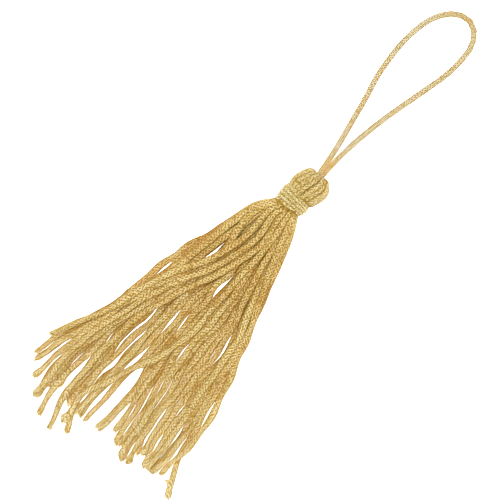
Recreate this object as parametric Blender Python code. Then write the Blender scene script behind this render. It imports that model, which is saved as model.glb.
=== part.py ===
"""A silk tassel lying on a flat surface, hanging loop up the +Y axis and skirt down the -Y axis.

Forty soft knitted cord ends hang from a folded head. A few turns of the same cord bind the neck,
and a thinner cord makes the hanging loop. The surface is Z = 0, and the origin lies on it, under
the middle of the head. Sizes are in millimetres and become metres where a mesh is made.
"""

from collections import namedtuple
import math

import bmesh
import bpy
import numpy as np
from mathutils import Vector

MM = 0.001

# The knitted cord
CORD_WIDTH = 1.95
CORD_THICKNESS = 1.05
CORD_GAP = 0.15  # air kept under a cord that lies on another one
SIDE_GAP = 0.25  # air kept between two cords of one layer near the neck
CORE_SHARE = 0.34  # share of a cord's width that climbs over others; the rest gives way

# The skirt, down the -Y axis
ROOT_DOWN = -9.0
ROOT_INSET = 0.3
MOUTH_DOWN = -16.0
GROUND_FADE = 8.0  # the outermost cords come down to the surface over this length
STATIONS_DOWN = (-30.0, -45.0, -60.0, -75.0)
SEGMENTS = 26  # straight stretches in each cord end
CLIMB = 0.4  # steepest rise of a cord over another one

# The bundle's outline from the neck to the mouth of the skirt
Outline = namedtuple("Outline", "down across up half_width half_height")
BUNDLE = (
    Outline(-9.0, -1.25, 4.4, 4.1, 3.9),
    Outline(-10.0, -1.55, 4.35, 5.1, 4.0),
    Outline(-11.0, -1.75, 4.3, 5.8, 4.0),
    Outline(-12.0, -1.90, 4.2, 6.4, 4.0),
    Outline(-14.0, -2.00, 4.0, 7.5, 3.9),
    Outline(-16.0, -2.20, 3.8, 8.25, 3.8),
)

# Each cord end in plan: how far across it is at each of STATIONS_DOWN, and where it is cut.
# The layers are laid one on another from the surface up, and each runs from left to right.
End = namedtuple("End", "at_30 at_45 at_60 at_75 cut_across cut_down")
Layer = namedtuple("Layer", "name spread ends")
LAYERS = (
    Layer(
        "first",
        0.84,
        (
            End(-12.6, -16.4, -19.9, -24.3, -25.4, -91.2),
            End(-7.9, -11.9, -14.9, -15.6, -15.7, -91.0),
            End(-4.9, -8.3, -10.2, -11.5, -12.8, -90.4),
            End(0.4, 0.4, -1.4, -0.1, 1.6, -91.3),
            End(3.2, 5.2, 4.9, 5.6, 8.7, -90.2),
            End(5.9, 11.3, 12.3, 12.9, 14.3, -91.5),
        ),
    ),
    Layer(
        "second",
        1.00,
        (
            End(-14.1, -19.5, -22.7, -29.0, -32.3, -85.2),
            End(-10.8, -13.4, -16.8, -16.5, -17.4, -89.6),
            End(-3.6, -7.3, -8.5, -10.4, -11.2, -91.9),
            End(-2.5, -4.6, -5.0, -3.6, -5.4, -91.4),
            End(2.2, 2.8, 3.4, 5.5, 5.7, -94.4),
            End(4.4, 9.5, 10.4, 9.8, 12.2, -91.8),
            End(8.0, 11.9, 15.2, 17.5, 23.4, -95.0),
        ),
    ),
    Layer(
        "third",
        1.07,
        (
            End(-13.8, -17.8, -21.2, -27.4, -30.9, -86.7),
            End(-10.8, -14.9, -18.3, -20.4, -20.9, -88.8),
            End(-5.2, -8.4, -9.9, -11.0, -11.9, -91.5),
            End(-1.8, -5.8, -6.1, -7.9, -8.9, -91.5),
            End(1.2, 1.6, -0.3, 1.9, 3.3, -91.5),
            End(3.6, 6.3, 6.7, 6.4, 7.8, -94.1),
            End(7.0, 11.0, 12.4, 14.4, 14.6, -91.7),
        ),
    ),
    Layer(
        "fourth",
        1.07,
        (
            End(-12.9, -17.2, -20.7, -27.2, -30.6, -86.0),
            End(-8.1, -10.3, -12.0, -14.3, -11.3, -97.9),
            End(-2.5, -2.9, -3.4, -2.9, -4.3, -91.4),
            End(-0.4, -1.2, -2.3, -1.6, -0.5, -89.0),
            End(2.8, 4.0, 2.7, 2.9, 2.4, -91.3),
            End(5.5, 10.3, 11.4, 11.6, 14.0, -91.8),
            End(8.8, 12.8, 16.8, 19.0, 17.1, -90.7),
        ),
    ),
    Layer(
        "fifth",
        1.00,
        (
            End(-12.7, -15.7, -19.1, -22.0, -22.8, -90.3),
            End(-10.9, -14.1, -17.6, -19.8, -20.6, -98.7),
            End(-6.3, -14.6, -21.0, -25.3, -28.4, -90.7),
            End(-3.9, -11.4, -17.8, -22.6, -24.1, -94.5),
            End(1.8, 2.4, 1.8, 3.5, 4.7, -93.5),
            End(4.4, 7.6, 8.3, 8.2, 9.7, -89.5),
            End(6.4, 10.6, 11.8, 12.9, 13.5, -90.8),
        ),
    ),
    Layer(
        "top",
        0.84,
        (
            End(-7.8, -12.0, -14.5, -17.4, -17.8, -90.6),
            End(-7.7, -16.2, -22.2, -30.1, -32.2, -78.3),
            End(-5.0, -13.0, -19.4, -23.9, -24.6, -94.8),
            End(-2.7, -9.8, -15.4, -17.5, -16.0, -99.9),
            End(0.8, 0.0, -2.0, -9.1, -14.2, -95.9),
            End(7.6, 12.3, 13.7, 15.9, 15.2, -91.6),
        ),
    ),
)

# Places where a cord end bows aside: by how much, at its middle, and over what reach
Bow = namedtuple("Bow", "layer place down across reach")
BOWS = (
    Bow("first", 2, -79.0, -0.6, 5.0),
    Bow("first", 4, -82.5, -1.5, 8.0),
    Bow("first", 5, -83.0, -0.6, 8.0),
    Bow("second", 0, -22.0, -0.4, 8.0),
    Bow("second", 0, -34.5, -0.9, 5.0),
    Bow("second", 3, -83.0, 0.4, 8.0),
    Bow("second", 4, -86.0, -0.6, 6.0),
    Bow("second", 5, -52.0, 0.6, 8.0),
    Bow("second", 5, -83.0, -0.5, 8.0),
    Bow("second", 6, -83.0, -1.0, 9.0),
    Bow("second", 6, -90.5, -0.9, 5.0),
    Bow("third", 1, -84.0, -0.4, 8.0),
    Bow("third", 5, -84.0, -0.4, 9.0),
    Bow("third", 6, -82.0, 0.9, 8.0),
    Bow("fourth", 1, -86.0, -0.7, 11.0),
    Bow("fourth", 2, -39.0, -1.1, 6.0),
    Bow("fourth", 2, -83.0, 0.3, 7.0),
    Bow("fourth", 3, -82.0, 0.2, 7.0),
    Bow("fourth", 5, -83.0, -0.6, 8.0),
    Bow("fifth", 1, -87.5, -1.4, 12.0),
    Bow("fifth", 5, -56.0, 0.4, 7.0),
    Bow("top", 1, -20.0, 1.0, 9.0),
    Bow("top", 2, -20.0, 1.2, 9.0),
    Bow("top", 3, -20.0, 0.8, 9.0),
    Bow("top", 3, -87.5, -0.9, 12.0),
    Bow("top", 4, -85.5, -1.4, 10.0),
)


# The folded cords from the dimple in the head's top to the neck, and on to where the skirt parts.
# Each row is a ring: square is 2 for an ellipse and more for a fuller shape, lean tips the ring
# down to the right, and groove is how deep the valleys between two cords are.
CORDS_ROUND = 16
POINTS_PER_CORD = 3
Ring = namedtuple("Ring", "along across up half_width half_height square lean groove")
CORE = (
    Ring(4.0, 0.75, 4.85, 1.9, 1.9, 2.0, 0.06, 0.0),
    Ring(4.65, 0.75, 4.85, 2.7, 2.7, 2.0, 0.06, 0.15),
    Ring(4.5, 0.75, 4.85, 3.35, 3.35, 2.0, 0.06, 0.30),
    Ring(3.9, 0.75, 4.9, 4.1, 4.1, 2.0, 0.07, 0.38),
    Ring(2.9, 0.75, 4.9, 4.85, 4.75, 2.0, 0.08, 0.40),
    Ring(1.6, 0.68, 4.9, 5.35, 5.25, 2.0, 0.09, 0.42),
    Ring(-0.2, 0.45, 4.9, 5.6, 5.4, 2.0, 0.10, 0.42),
    Ring(-2.0, 0.10, 4.85, 5.4, 5.25, 2.0, 0.12, 0.42),
    Ring(-3.3, -0.10, 4.75, 4.8, 4.75, 2.0, 0.14, 0.40),
    Ring(-3.9, -0.30, 4.7, 4.0, 4.0, 2.0, 0.14, 0.30),
    Ring(-4.1, -0.45, 4.65, 3.4, 3.4, 2.0, 0.13, 0.25),
    Ring(-6.4, -0.80, 4.6, 3.2, 3.3, 2.0, 0.08, 0.25),
    Ring(-8.95, -1.20, 4.5, 3.1, 3.2, 2.0, 0.0, 0.25),
    Ring(-9.35, -1.30, 4.5, 4.7, 4.1, 2.2, 0.0, 0.35),
    Ring(-10.6, -1.65, 4.45, 6.05, 4.4, 3.0, 0.0, 0.40),
    Ring(-12.0, -1.90, 4.4, 6.95, 4.5, 3.6, 0.0, 0.40),
    Ring(-13.2, -1.95, 4.3, 6.9, 3.9, 3.4, 0.0, 0.40),
    Ring(-14.5, -2.05, 4.1, 5.4, 3.0, 3.0, 0.0, 0.30),
    Ring(-15.6, -2.10, 3.9, 3.6, 1.8, 2.5, 0.0, 0.0),
)

# The binding: turns of cord round the neck, each between two rows of this table
BINDING_GAP = 0.3
BINDING_SIDES = 32
Turn = namedtuple("Turn", "along across up half_width half_height lean")
TURNS = (
    Turn(-4.45, -0.75, 4.65, 4.85, 4.40, 0.13),
    Turn(-5.3, -0.80, 4.65, 4.95, 4.40, 0.11),
    Turn(-6.4, -0.75, 4.60, 4.80, 4.35, 0.08),
    Turn(-7.7, -0.95, 4.55, 4.60, 4.25, 0.04),
    Turn(-9.0, -1.20, 4.50, 4.35, 4.15, 0.0),
)
TURN_VALLEY = 0.35

# The hanging loop's middle line, out of the dimple's left side and back into its right side
LOOP_DIAMETER = 1.6
LOOP_POINTS = 46
LoopPoint = namedtuple("LoopPoint", "across along up")
LOOP = (
    LoopPoint(0.35, 4.35, 5.65),
    LoopPoint(0.10, 8.0, 5.35),
    LoopPoint(-0.15, 11.5, 4.45),
    LoopPoint(-0.8, 17.0, 2.6),
    LoopPoint(-1.7, 23.5, 1.15),
    LoopPoint(-2.6, 30.0, 0.82),
    LoopPoint(-3.8, 36.9, 0.82),
    LoopPoint(-4.1, 42.0, 0.82),
    LoopPoint(-4.15, 47.4, 0.82),
    LoopPoint(-3.4, 53.4, 0.82),
    LoopPoint(-2.0, 58.4, 0.82),
    LoopPoint(0.05, 61.9, 0.82),
    LoopPoint(2.9, 64.5, 0.82),
    LoopPoint(5.7, 65.4, 0.82),
    LoopPoint(8.5, 65.0, 0.82),
    LoopPoint(10.6, 63.1, 0.82),
    LoopPoint(12.2, 59.5, 0.82),
    LoopPoint(12.3, 55.5, 0.82),
    LoopPoint(11.8, 50.8, 0.82),
    LoopPoint(10.5, 45.6, 0.82),
    LoopPoint(8.8, 40.1, 0.82),
    LoopPoint(7.1, 34.6, 0.82),
    LoopPoint(5.4, 29.0, 0.84),
    LoopPoint(4.1, 23.8, 1.05),
    LoopPoint(2.9, 18.4, 1.75),
    LoopPoint(2.2, 13.9, 2.7),
    LoopPoint(1.7, 10.0, 3.45),
    LoopPoint(1.15, 4.35, 4.0),
)


def bundle_at(down):
    """The outline's row at any place along the bundle, as an Outline."""
    places = [-row.down for row in BUNDLE]
    columns = [np.interp(-down, places, [row[k] for row in BUNDLE]) for k in range(1, 5)]
    return Outline(down, *columns)


def smooth_through(places, values, at):
    """A natural cubic curve through (places, values), read at `at`."""
    places, values = np.asarray(places, float), np.asarray(values, float)
    count = len(places)
    step = np.diff(places)
    slope = np.diff(values) / step
    system = np.eye(count)
    right = np.zeros(count)
    for k in range(1, count - 1):
        system[k, k - 1 : k + 2] = step[k - 1], 2 * (step[k - 1] + step[k]), step[k]
        right[k] = 6 * (slope[k] - slope[k - 1])
    bend = np.linalg.solve(system, right)
    k = np.clip(np.searchsorted(places, at, side="right") - 1, 0, count - 2)
    t = at - places[k]
    return (
        values[k]
        + t * (slope[k] - step[k] * (2 * bend[k] + bend[k + 1]) / 6)
        + t**2 * bend[k] / 2
        + t**3 * (bend[k + 1] - bend[k]) / (6 * step[k])
    )


def plan_of(layer, place):
    """(across, down) of each station of one cord end, seen from above."""
    end = layer.ends[place]
    slot = layer.spread * ((2 * place + 1) / len(layer.ends) - 1)
    roots = [bundle_at(down) for down in (ROOT_DOWN, -12.0, MOUTH_DOWN)]
    downs = [row.down for row in roots] + list(STATIONS_DOWN) + [end.cut_down]
    acrosses = [row.across + slot * (row.half_width - ROOT_INSET) for row in roots] + list(end[:5])
    down = np.linspace(ROOT_DOWN, end.cut_down, SEGMENTS + 1)
    across = smooth_through([-d for d in downs], acrosses, -down)
    for bow in BOWS:
        if (bow.layer, bow.place) == (layer.name, place):
            near = np.clip(np.abs(down - bow.down) / bow.reach, 0, 1)
            across += bow.across * np.cos(near * math.pi / 2) ** 2
    return across, down


def width_of(layer, down):
    """The width of a cord end at each station: the neck squeezes a layer's cords together."""
    pitch = 2 * layer.spread * (bundle_at(down).half_width - ROOT_INSET) / len(layer.ends)
    return np.minimum(CORD_WIDTH, pitch - SIDE_GAP)


class Pile:
    """A height map of what lies on the surface so far, which each cord end is laid on."""

    CELL = 0.1
    EDGE = 0.08  # share of its half width that a cord keeps clear of the one beside it
    LEFT, BOTTOM, RIGHT, TOP = -37.0, -102.0, 29.0, -7.0

    def __init__(self):
        x = np.arange(self.LEFT, self.RIGHT, self.CELL)
        y = np.arange(self.BOTTOM, self.TOP, self.CELL)
        row = bundle_at(y[:, None] + 0 * x[None, :])
        off = np.clip(np.abs(x[None, :] - row.across) / row.half_width, 0, 1)
        shell = row.up - row.half_height * np.sqrt(1 - off**2)
        fade = np.clip(1 - (MOUTH_DOWN - y[:, None]) / GROUND_FADE, 0, 1)
        self.height = np.maximum(shell * fade, 0) - CORD_GAP

    def cells(self, x, y):
        return (
            ((y - self.BOTTOM) / self.CELL).round().astype(int),
            ((x - self.LEFT) / self.CELL).round().astype(int),
        )

    def lay(self, across, down, width):
        """Rests a cord end on the pile. It gives the height of its underside, and how far it reaches
        to its left and to its right, at each station. Its edges give way to cords beside them."""
        fine = 16
        station = np.arange(len(down))
        t = np.linspace(0, len(down) - 1, (len(down) - 1) * fine + 1)
        x, y = np.interp(t, station, across), np.interp(t, station, down)
        along = np.hypot(np.gradient(x), np.gradient(y))
        right = -np.gradient(y) / along, np.gradient(x) / along
        share = np.linspace(-1, 1, 41)
        offset = share[None, :] * np.interp(t, station, width)[:, None] / 2
        spots = self.cells(
            x[:, None] + right[0][:, None] * offset, y[:, None] + right[1][:, None] * offset
        )
        under = self.height[spots] + CORD_GAP
        around = [slice(max(0, (k - 1) * fine), (k + 1) * fine + 1) for k in station]

        core = under[:, np.abs(share) <= CORE_SHARE]
        needed = np.array([core[near].max() for near in around])
        spacing = np.hypot(across[:, None] - across[None, :], down[:, None] - down[None, :])
        height = (needed[None, :] - CLIMB * spacing).max(axis=1)
        for _ in range(3):
            eased = height.copy()
            eased[1:-1] = (height[:-2] + 2 * height[1:-1] + height[2:]) / 4
            height = np.maximum(eased, needed)

        blocked = under > np.interp(t, station, height)[:, None] + 1e-6
        reach = []
        for sign in (-1, 1):
            outward = np.abs(np.where(sign * share > 0, share, 0))
            first = np.where(blocked & (outward > 0), outward[None, :], 2).min(axis=1)
            reach.append([min(1, first[near].min() - self.EDGE) for near in around])
        reach = np.array(reach) * width / 2

        wide = np.array([np.interp(t, station, side) for side in reach])
        offset = np.where(share[None, :] < 0, wide[0][:, None], wide[1][:, None]) * share[None, :]
        spots = self.cells(
            x[:, None] + right[0][:, None] * offset, y[:, None] + right[1][:, None] * offset
        )
        top = np.interp(t, station, height)[:, None] + CORD_THICKNESS + 0 * offset
        np.maximum.at(self.height, spots, top)
        return height, *reach


def laid_ends():
    """Every cord end as rows of (across, down, underside, left, right), from the surface up."""
    pile = Pile()
    ends = []
    for layer in LAYERS:
        for place in range(len(layer.ends)):
            across, down = plan_of(layer, place)
            laid = pile.lay(across, down, width_of(layer, down))
            ends.append(np.stack([across, down, *laid], axis=1))
    return ends


def skin(rings):
    """Points and faces of a closed solid skinned over rings of equal size, first to last."""
    count = len(rings[0])
    points = np.concatenate(rings)
    faces = []
    for k in range(0, len(points) - count, count):
        for i in range(count):
            j = (i + 1) % count
            faces.append((k + i, k + j, k + count + j, k + count + i))
    faces.append(tuple(range(count))[::-1])
    faces.append(tuple(range(len(points) - count, len(points))))
    return points, faces


def core_ring(row):
    """One ring of the folded cords, flat where it meets the surface."""
    count = CORDS_ROUND * POINTS_PER_CORD
    turn = np.arange(count) * math.tau / count
    side, rise = np.sin(turn), -np.cos(turn)
    full = (np.abs(side) ** row.square + np.abs(rise) ** row.square) ** (-1 / row.square)
    valley = np.where(np.arange(count) % POINTS_PER_CORD == 0, row.groove, 0)
    x = row.across + (row.half_width - valley) * full * side
    plain = row.up + row.half_height * full * rise
    z = np.where(plain <= 0, 0, np.maximum(row.up + (row.half_height - valley) * full * rise, 0))
    y = row.along - row.lean * (x - row.across)
    return np.stack([x, y, z], axis=1)


def end_rings(end):
    """Square sections of one laid cord end, from inside the core to its cut."""
    across, down, underside, left, right = end.T
    along = np.stack([np.gradient(across), np.gradient(down)], axis=1)
    along /= np.linalg.norm(along, axis=1)[:, None]
    rings = []
    for k in range(1, len(end)):
        aside = np.array([-along[k, 1], along[k, 0]])
        middle = np.array([across[k], down[k]])
        inner, outer = middle - aside * left[k], middle + aside * right[k]
        low, high = underside[k], underside[k] + CORD_THICKNESS
        rings.append(
            np.array([(*inner, low), (*outer, low), (*outer, high), (*inner, high)])
        )
    return rings


def turn_ring(row, inset):
    """One ring of the binding, this far inside its outer size."""
    turn = np.arange(BINDING_SIDES) * math.tau / BINDING_SIDES
    x = row.across + (row.half_width - inset) * np.sin(turn)
    z = row.up - (row.half_height - inset) * np.cos(turn)
    return np.stack([x, row.along - row.lean * (x - row.across), z], axis=1)


def between(first, second, share):
    """A row of a table part of the way from one row to the next."""
    return type(first)(*(a + (b - a) * share for a, b in zip(first, second)))


def core_size_at(along):
    """The half width and half height of the neck, inside the binding."""
    places = [-row.along for row in CORE]
    half_width = np.interp(-along, places, [row.half_width for row in CORE])
    half_height = np.interp(-along, places, [row.half_height for row in CORE])
    return half_width, half_height


def binding_shape():
    """The bound turns as one closed sleeve: round outside on each turn, plain inside."""
    outside = [turn_ring(TURNS[0], TURN_VALLEY)]
    for first, second in zip(TURNS, TURNS[1:]):
        outside.append(turn_ring(between(first, second, 0.25), 0.07))
        outside.append(turn_ring(between(first, second, 0.5), 0.0))
        outside.append(turn_ring(between(first, second, 0.75), 0.07))
        outside.append(turn_ring(second, TURN_VALLEY))
    inside = []
    for row in reversed(TURNS):
        half_width, half_height = core_size_at(row.along)
        bore = row._replace(
            half_width=half_width + BINDING_GAP, half_height=half_height + BINDING_GAP
        )
        inside.append(turn_ring(bore, 0.0))
    rings = outside + inside
    count = BINDING_SIDES
    points = np.concatenate(rings)
    faces = []
    for k in range(len(rings)):
        a, b = k * count, (k + 1) % len(rings) * count
        for i in range(count):
            j = (i + 1) % count
            faces.append((a + i, a + j, b + j, b + i))
    return points, faces


def loop_points():
    """The loop's middle line, as evenly spaced points on a smooth curve."""
    table = np.array(LOOP)
    chord = np.concatenate([[0], np.cumsum(np.linalg.norm(np.diff(table, axis=0), axis=1))])
    at = np.linspace(0, chord[-1], LOOP_POINTS)
    points = np.stack([smooth_through(chord, table[:, k], at) for k in range(3)], axis=1)
    points[:, 2] = np.maximum(points[:, 2], LOOP_DIAMETER / 2 + 0.02)
    return points


def clear_scene():
    for thing in list(bpy.data.objects):
        bpy.data.objects.remove(thing, do_unlink=True)


def silk(name, colour, roughness):
    material = bpy.data.materials.new(name)
    material.use_nodes = True
    shader = material.node_tree.nodes["Principled BSDF"]
    shader.inputs["Base Color"].default_value = (*colour, 1.0)
    shader.inputs["Roughness"].default_value = roughness
    shader.inputs["Sheen Weight"].default_value = 0.4
    material.diffuse_color = (*colour, 1.0)
    return material


def add_solid(name, points, faces, material):
    """A mesh object from points in millimetres, with its faces turned outward."""
    mesh = bpy.data.meshes.new(name)
    build = bmesh.new()
    corners = [build.verts.new(Vector(point) * MM) for point in points]
    for face in faces:
        build.faces.new([corners[k] for k in face])
    bmesh.ops.recalc_face_normals(build, faces=build.faces)
    build.to_mesh(mesh)
    build.free()
    mesh.materials.append(material)
    mesh.shade_smooth()
    mesh.set_sharp_from_angle(angle=math.radians(50))
    thing = bpy.data.objects.new(name, mesh)
    bpy.context.scene.collection.objects.link(thing)
    return thing


def add_bundle(material):
    """Head, neck and skirt: one folded bundle of cords, its ends joined to the core."""
    points, faces = [], []
    for end in laid_ends():
        new_points, new_faces = skin(end_rings(end))
        faces += [tuple(len(points) + k for k in face) for face in new_faces]
        points += list(new_points)
    ends = add_solid("skirt_ends_to_join", points, faces, material)
    ends.hide_render = True
    ends.display_type = "WIRE"
    bundle = add_solid("cord_bundle", *skin([core_ring(row) for row in CORE]), material)
    join = bundle.modifiers.new("Join the skirt", "BOOLEAN")
    join.operation = "UNION"
    join.solver = "EXACT"
    join.use_self = True
    join.object = ends
    return bundle


def add_loop(material):
    """The hanging cord, as a round tube along its route."""
    curve = bpy.data.curves.new("hanging_loop", "CURVE")
    curve.dimensions = "3D"
    curve.bevel_depth = LOOP_DIAMETER / 2 * MM
    curve.bevel_resolution = 2
    curve.use_fill_caps = True
    route = curve.splines.new("POLY")
    points = loop_points()
    route.points.add(len(points) - 1)
    for spot, point in zip(route.points, points):
        spot.co = (*(point * MM), 1.0)
    curve.materials.append(material)
    loop = bpy.data.objects.new("hanging_loop", curve)
    bpy.context.scene.collection.objects.link(loop)
    return loop


def main():
    clear_scene()
    add_bundle(silk("gold_silk_cord", (0.56, 0.36, 0.11), 0.45))
    add_solid("neck_binding", *binding_shape(), silk("gold_silk_binding", (0.60, 0.40, 0.13), 0.45))
    add_loop(silk("gold_silk_loop", (0.60, 0.41, 0.14), 0.42))


main()
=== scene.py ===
# %% [markdown]
# # A silk tassel, cord by cord
# A tassel like this one is made from a single soft cord. The cord is knitted as a thin tube, wound
# into a hank, hung on a finer cord and folded over. The fold is the head, a few turns of the same
# cord bind the neck, and the cut lengths below it are the skirt. This file dresses the plain solids
# of the frame with knitted cord. It builds the stitches and the silk first, and then each piece is
# a route that they follow.

from collections import namedtuple
import math

import bpy
import numpy as np
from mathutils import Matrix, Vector


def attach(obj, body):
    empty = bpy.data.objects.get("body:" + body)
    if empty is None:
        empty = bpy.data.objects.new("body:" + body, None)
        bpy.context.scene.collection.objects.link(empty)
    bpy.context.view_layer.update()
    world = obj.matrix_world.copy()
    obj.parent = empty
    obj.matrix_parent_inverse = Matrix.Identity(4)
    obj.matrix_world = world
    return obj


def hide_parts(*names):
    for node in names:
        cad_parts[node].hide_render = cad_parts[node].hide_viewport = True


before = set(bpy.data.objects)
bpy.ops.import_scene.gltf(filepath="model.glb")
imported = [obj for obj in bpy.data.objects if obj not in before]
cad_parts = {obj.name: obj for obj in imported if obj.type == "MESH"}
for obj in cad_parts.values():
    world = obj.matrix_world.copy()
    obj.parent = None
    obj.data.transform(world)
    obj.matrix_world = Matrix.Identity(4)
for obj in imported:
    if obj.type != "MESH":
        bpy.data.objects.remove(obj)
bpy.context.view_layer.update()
MM = 0.001
print("frame:", sorted(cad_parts))

# %% [markdown]
# ## Camera, table and light
# The tassel lies on a white table and is seen from straight above, turned so that its loop points
# to the upper right. A long lens keeps the head and the skirt at one scale. The table is a light
# table, which glows white from inside, so the gaps between the cords stay white. One soft panel
# hangs almost overhead, and an evenly bright room fills its shadows.

# %% Camera, table and light
# Sizes of the view in millimetres
VIEW_WIDTH = 142.5
VIEW_MIDDLE = (-1.9, -24.5)
VIEW_TURN = math.radians(38)
CAMERA_HEIGHT = 700.0
SENSOR = 36.0

# Sizes of the room in metres
TABLE_HALF_WIDTH = 2.0
TABLE_DROP = 0.00005  # the table lies this little below the cords, so the two never flicker
TABLE_GLOW = 1.0
PANEL_PLACE = (-0.03, 0.0, 0.95)
PANEL_WIDTH = 0.25
PANEL_WATTS = 6.0
ROOM_BRIGHTNESS = 0.32
LIGHT_BOUNCES = 12  # light comes out of the furrows between the cords only after many bounces
PIXEL_BLUR = 0.6


def add_camera():
    lens = bpy.data.cameras.new("camera")
    lens.sensor_width = SENSOR
    lens.lens = SENSOR * CAMERA_HEIGHT / VIEW_WIDTH
    lens.clip_start = 0.01
    camera = bpy.data.objects.new("camera", lens)
    camera.location = (VIEW_MIDDLE[0] * MM, VIEW_MIDDLE[1] * MM, CAMERA_HEIGHT * MM)
    camera.rotation_euler = (0, 0, VIEW_TURN)
    bpy.context.scene.collection.objects.link(camera)
    bpy.context.scene.camera = camera


def add_table():
    mesh = bpy.data.meshes.new("table_top")
    half = TABLE_HALF_WIDTH
    corners = [(-half, -half), (half, -half), (half, half), (-half, half)]
    mesh.from_pydata([(x, y, -TABLE_DROP) for x, y in corners], [], [(0, 1, 2, 3)])
    paper = bpy.data.materials.new("white_paper")
    paper.use_nodes = True
    shader = paper.node_tree.nodes["Principled BSDF"]
    shader.inputs["Base Color"].default_value = (0.93, 0.93, 0.93, 1)
    shader.inputs["Roughness"].default_value = 0.9
    shader.inputs["Specular IOR Level"].default_value = 0.1
    shader.inputs["Emission Color"].default_value = (1, 1, 1, 1)
    shader.inputs["Emission Strength"].default_value = TABLE_GLOW
    mesh.materials.append(paper)
    table = bpy.data.objects.new("table_top", mesh)
    bpy.context.scene.collection.objects.link(table)


def add_panel():
    light = bpy.data.lights.new("soft_panel", "AREA")
    light.shape = "DISK"
    light.size = PANEL_WIDTH
    light.energy = PANEL_WATTS
    panel = bpy.data.objects.new("soft_panel", light)
    panel.location = PANEL_PLACE
    panel.rotation_euler = (-Vector(PANEL_PLACE)).to_track_quat("-Z", "Y").to_euler()
    bpy.context.scene.collection.objects.link(panel)


def add_room():
    world = bpy.data.worlds.new("bright_room")
    world.use_nodes = True
    world.node_tree.nodes["Background"].inputs["Color"].default_value = (1, 1, 1, 1)
    world.node_tree.nodes["Background"].inputs["Strength"].default_value = ROOM_BRIGHTNESS
    bpy.context.scene.world = world


def set_render():
    scene = bpy.context.scene
    scene.view_settings.view_transform = "Standard"
    scene.view_settings.look = "None"
    scene.view_settings.exposure = 0.0
    scene.cycles.filter_width = PIXEL_BLUR
    scene.cycles.diffuse_bounces = LIGHT_BOUNCES


add_camera()
add_table()
add_panel()
add_room()
set_render()
print("view: %.1f mm wide, lens: %.0f mm" % (VIEW_WIDTH, bpy.context.scene.camera.data.lens))

# %% [markdown]
# ## Node trees, written as sums
# Stitches repeat thousands of times, so they are made by Geometry Nodes and coloured by shader
# nodes. A tree of Math nodes is hard to read as code. This small helper lets a wire be added to or
# multiplied by a number or another wire, and each sign adds one Math node. It works in both kinds
# of tree, because both share the Math and Vector Math nodes.

# %% A wire through a node tree
class Wire:
    """An output socket of a tree. Adding or multiplying it by a number or a wire adds a node."""

    def __init__(self, tree, socket):
        self.tree = tree
        self.socket = socket

    def __add__(self, other):
        return maths("ADD", self, other)

    def __sub__(self, other):
        return maths("SUBTRACT", self, other)

    def __rsub__(self, other):
        return maths("SUBTRACT", other, self)

    def __mul__(self, other):
        return maths("MULTIPLY", self, other)

    def __truediv__(self, other):
        return maths("DIVIDE", self, other)


def node(tree, kind, feeds=(), out=0, **settings):
    """Adds a node, sets it up, feeds its inputs with wires or values, and gives one output."""
    made = tree.nodes.new(kind)
    for name, value in settings.items():
        setattr(made, name, value)
    for name, value in dict(feeds).items():
        if isinstance(value, Wire):
            tree.links.new(value.socket, made.inputs[name])
        else:
            made.inputs[name].default_value = value
    return Wire(tree, made.outputs[out])


def tree_of(values):
    """The tree that the wires among these values belong to."""
    return next(value.tree for value in values if isinstance(value, Wire))


def maths(operation, *values):
    return node(tree_of(values), "ShaderNodeMath", enumerate(values), operation=operation)


def vectors(operation, *values):
    out = 1 if operation in ("DOT_PRODUCT", "LENGTH") else 0
    tree = tree_of(values)
    return node(tree, "ShaderNodeVectorMath", enumerate(values), out, operation=operation)


def times(vector, number):
    """A vector made longer or shorter."""
    feeds = {"Vector": vector, "Scale": number}
    return node(tree_of((vector, number)), "ShaderNodeVectorMath", feeds, operation="SCALE")


def new_tree(name, kind, inputs, outputs):
    """A node tree with named sockets, with the wires that come in and its output node."""
    tree = bpy.data.node_groups.new(name, kind)
    for label, (socket, value) in inputs.items():
        made = tree.interface.new_socket(label, in_out="INPUT", socket_type=socket)
        if value is not None:
            made.default_value = value
    for label, socket in outputs.items():
        tree.interface.new_socket(label, in_out="OUTPUT", socket_type=socket)
    entry = tree.nodes.new("NodeGroupInput")
    wires = {label: Wire(tree, entry.outputs[label]) for label in inputs}
    return tree, wires, tree.nodes.new("NodeGroupOutput")


def stored(tree, name, kind="FLOAT"):
    """A value that the mesh carries by this name."""
    feeds = {"Name": name}
    return node(tree, "GeometryNodeInputNamedAttribute", feeds, data_type=kind)


# %% [markdown]
# ## The knitted cord
# Soft tassel cord is a thin tube, knitted on a ring of needles. It shows a net: little holes stand
# in lines along the cord, and each line is half a stitch from its neighbours, which gives the net
# its diamonds. Modelling every loop of yarn would take millions of faces, so the tree below bends
# a 24-sided tube along each route and moves its points: in at each hole, and out between them.
# The tube keeps four numbers at each point. `row` counts the stitches along the cord, and `ring`
# swings from 1 to -1 from one line of holes to the next. `across` and `crest` say how far to the
# right and how far up on the section the point lies. The silk reads them later, to put its shading
# on the very same holes and furrows.

# %% Sizes of the net
COLUMNS = 24  # corners of the tube's section
ROWS_A_STITCH = 4  # rings of points in the length of one stitch
HOLE_LINES = 10  # lines of holes round the cord
HALF_STITCH = 0.25  # half a stitch, shared over a ring that swings by 2
HOLE_SLANT = 0.12  # how far a hole leans along the cord, in stitches
FULLNESS = 0.3  # how much fuller the section is at its corners than an oval
PULLS = 260.0  # places where stitches are pulled out of step, to a metre
LUMPS = 1100.0  # places where the relief is deeper or flatter, to a metre
LUMPINESS = 2.4
LEAST_RELIEF = -0.2

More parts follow.
